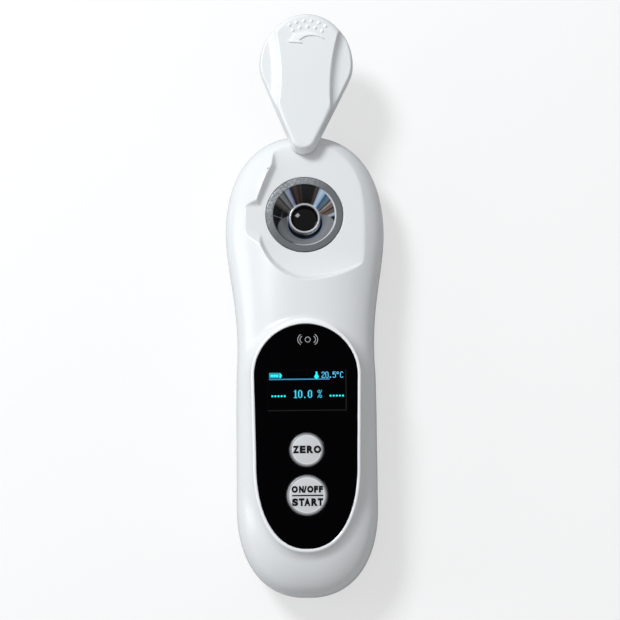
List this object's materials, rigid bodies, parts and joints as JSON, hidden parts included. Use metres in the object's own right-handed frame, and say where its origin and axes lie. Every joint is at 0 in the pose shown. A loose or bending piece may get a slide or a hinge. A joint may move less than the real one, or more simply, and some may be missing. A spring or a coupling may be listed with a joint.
{
  "type": "digital refractometer",
  "caption": "Hand-held digital refractometer: white case, black display panel with keys, steel sample dish round a glass prism, and a teardrop lid that swings over the dish.",
  "frame": {"origin": "middle of the body's length on the flat back that the instrument lies on", "axes": "+Z out of the front face, +Y along the body towards the lid's pivot, +X to the right of the face"},
  "size_m": [0.0618, 0.2272, 0.0331],
  "materials": {
    "white_shell": "glossy moulded white",
    "white_lid": "glossy moulded white",
    "black_acrylic": "glossy black panel",
    "black_plastic": "matt black",
    "key_silver": "satin silver",
    "dish_steel": "polished, turned",
    "screw_steel": "plain",
    "prism_glass": "polished, dark",
    "lens_clear": "clear",
    "seal_rubber": "matt",
    "board_green": "solder resist",
    "display_glass": "dark display glass",
    "ribbon_film": "amber film",
    "cell_jacket": "plain printed sleeve",
    "contact_nickel": "nickel plated"
  },
  "bodies": {
    "housing": {"front_cover": "white_shell", "rear_cover": "white_shell", "parting_seal": "seal_rubber", "case_screw_1": "screw_steel", "case_screw_2": "screw_steel", "case_screw_3": "screw_steel", "case_screw_4": "screw_steel", "display_panel": "black_acrylic", "panel_adhesive": "black_plastic", "display_module": "display_glass", "display_frame": "black_plastic", "display_ribbon": "ribbon_film", "main_board": "board_green", "processor": "black_plastic", "zero_switch": "black_plastic", "start_switch": "black_plastic", "board_screw_1": "screw_steel", "board_screw_2": "screw_steel", "board_screw_3": "screw_steel", "board_screw_4": "screw_steel", "sample_dish": "dish_steel", "dish_gasket": "seal_rubber", "prism": "prism_glass", "prism_seal": "seal_rubber", "optics_block": "black_plastic", "temperature_probe": "contact_nickel", "optics_screw_1": "screw_steel", "optics_screw_2": "screw_steel", "lamp_board": "board_green", "light_source": "lens_clear", "collimator_lens": "lens_clear", "sensor_board": "board_green", "line_sensor": "black_plastic", "pivot_bush": "black_plastic", "wave_washer": "screw_steel", "battery_1": "cell_jacket", "battery_2": "cell_jacket", "battery_spring_1": "contact_nickel", "battery_spring_2": "contact_nickel", "link_contact": "contact_nickel", "positive_contact": "contact_nickel", "negative_contact": "contact_nickel"},
    "lid": {"lid_cover": "white_lid", "lid_liner": "white_lid", "lid_light_seal": "seal_rubber", "pivot_washer": "screw_steel", "pivot_screw": "screw_steel"},
    "zero_button": {"zero_key": "key_silver", "zero_plunger": "black_plastic"},
    "start_button": {"start_key": "key_silver", "start_plunger": "black_plastic"},
    "battery_hatch": {"battery_door": "white_shell"}
  },
  "joints": [
    {"name": "lid_swing", "type": "hinge", "parent": "housing", "child": "lid", "pos_m": [0, 0.0852, 0.0265], "axis": [0, 0, 1], "range_deg": [-175.8, 2.2]},
    {"name": "zero_press", "type": "slide", "parent": "housing", "child": "zero_button", "axis": [0, 0, 1], "range_m": [-0.0005, 0], "stiffness_N_per_m": 900},
    {"name": "start_press", "type": "slide", "parent": "housing", "child": "start_button", "axis": [0, 0, 1], "range_m": [-0.0005, 0], "stiffness_N_per_m": 900},
    {"name": "hatch_slide", "type": "slide", "parent": "housing", "child": "battery_hatch", "axis": [0, -1, 0], "range_m": [0, 0.008]}
  ]
}
